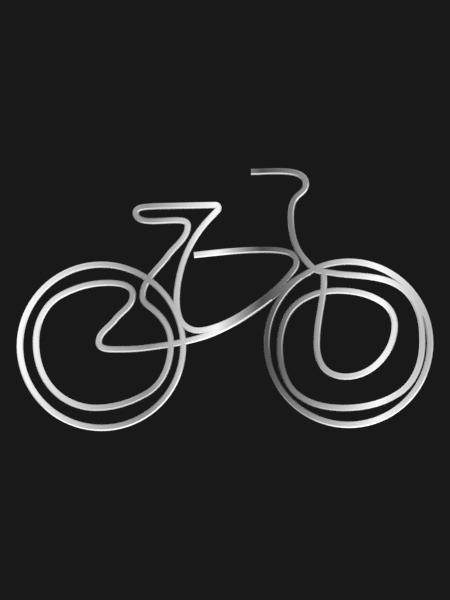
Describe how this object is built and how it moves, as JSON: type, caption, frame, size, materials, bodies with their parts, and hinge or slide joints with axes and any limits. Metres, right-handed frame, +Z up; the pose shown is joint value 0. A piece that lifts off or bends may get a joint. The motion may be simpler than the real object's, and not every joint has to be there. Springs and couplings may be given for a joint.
{
  "type": "bicycle wall ornament",
  "caption": "Wall ornament: a bicycle seen from the side, drawn as a flowing line of square polished metal bar that stands off the wall on short pillars.",
  "frame": {"origin": "on the wall's surface, straight behind the bottom bracket", "axes": "+X to the viewer's right, towards the front wheel; +Y into the wall; +Z up"},
  "size_m": [0.4167, 0.018, 0.2629],
  "materials": {
    "polished_bar": "satin polished along the bar, with a brighter bevel along each front edge; tone runs from white to mid grey across the figure",
    "stainless": "turned, plain"
  },
  "bodies": {
    "root": {"rear_rim": "polished_bar", "front_rim": "polished_bar", "down_tube": "polished_bar", "chainstay": "polished_bar", "rear_inner_loop": "polished_bar", "seat_stay": "polished_bar", "saddle": "polished_bar", "saddle_nose": "polished_bar", "seat_tube": "polished_bar", "top_tube": "polished_bar", "stem": "polished_bar", "handlebar": "polished_bar", "fork_blade": "polished_bar", "front_outer_loop": "polished_bar", "front_inner_loop": "polished_bar", "standoff_bottom_bracket": "stainless", "standoff_rear_rim": "stainless", "standoff_front_rim": "stainless", "standoff_saddle": "stainless", "standoff_stem": "stainless", "screw_chainstay_front": "stainless", "screw_chainstay_rear": "stainless", "screw_crown": "stainless", "screw_down_tube": "stainless", "screw_fork": "stainless", "screw_fork_foot": "stainless", "screw_handlebar": "stainless", "screw_inner_loop": "stainless", "screw_loop_chainstay": "stainless", "screw_outer_loop": "stainless", "screw_rim_chainstay": "stainless", "screw_rim_seat_stay": "stainless", "screw_saddle_front": "stainless", "screw_seat_stay_foot": "stainless", "screw_seat_stay_top": "stainless", "screw_seat_tube": "stainless", "screw_seat_tube_foot": "stainless", "screw_seat_tube_top": "stainless", "screw_top_tube": "stainless"}
  },
  "joints": []
}
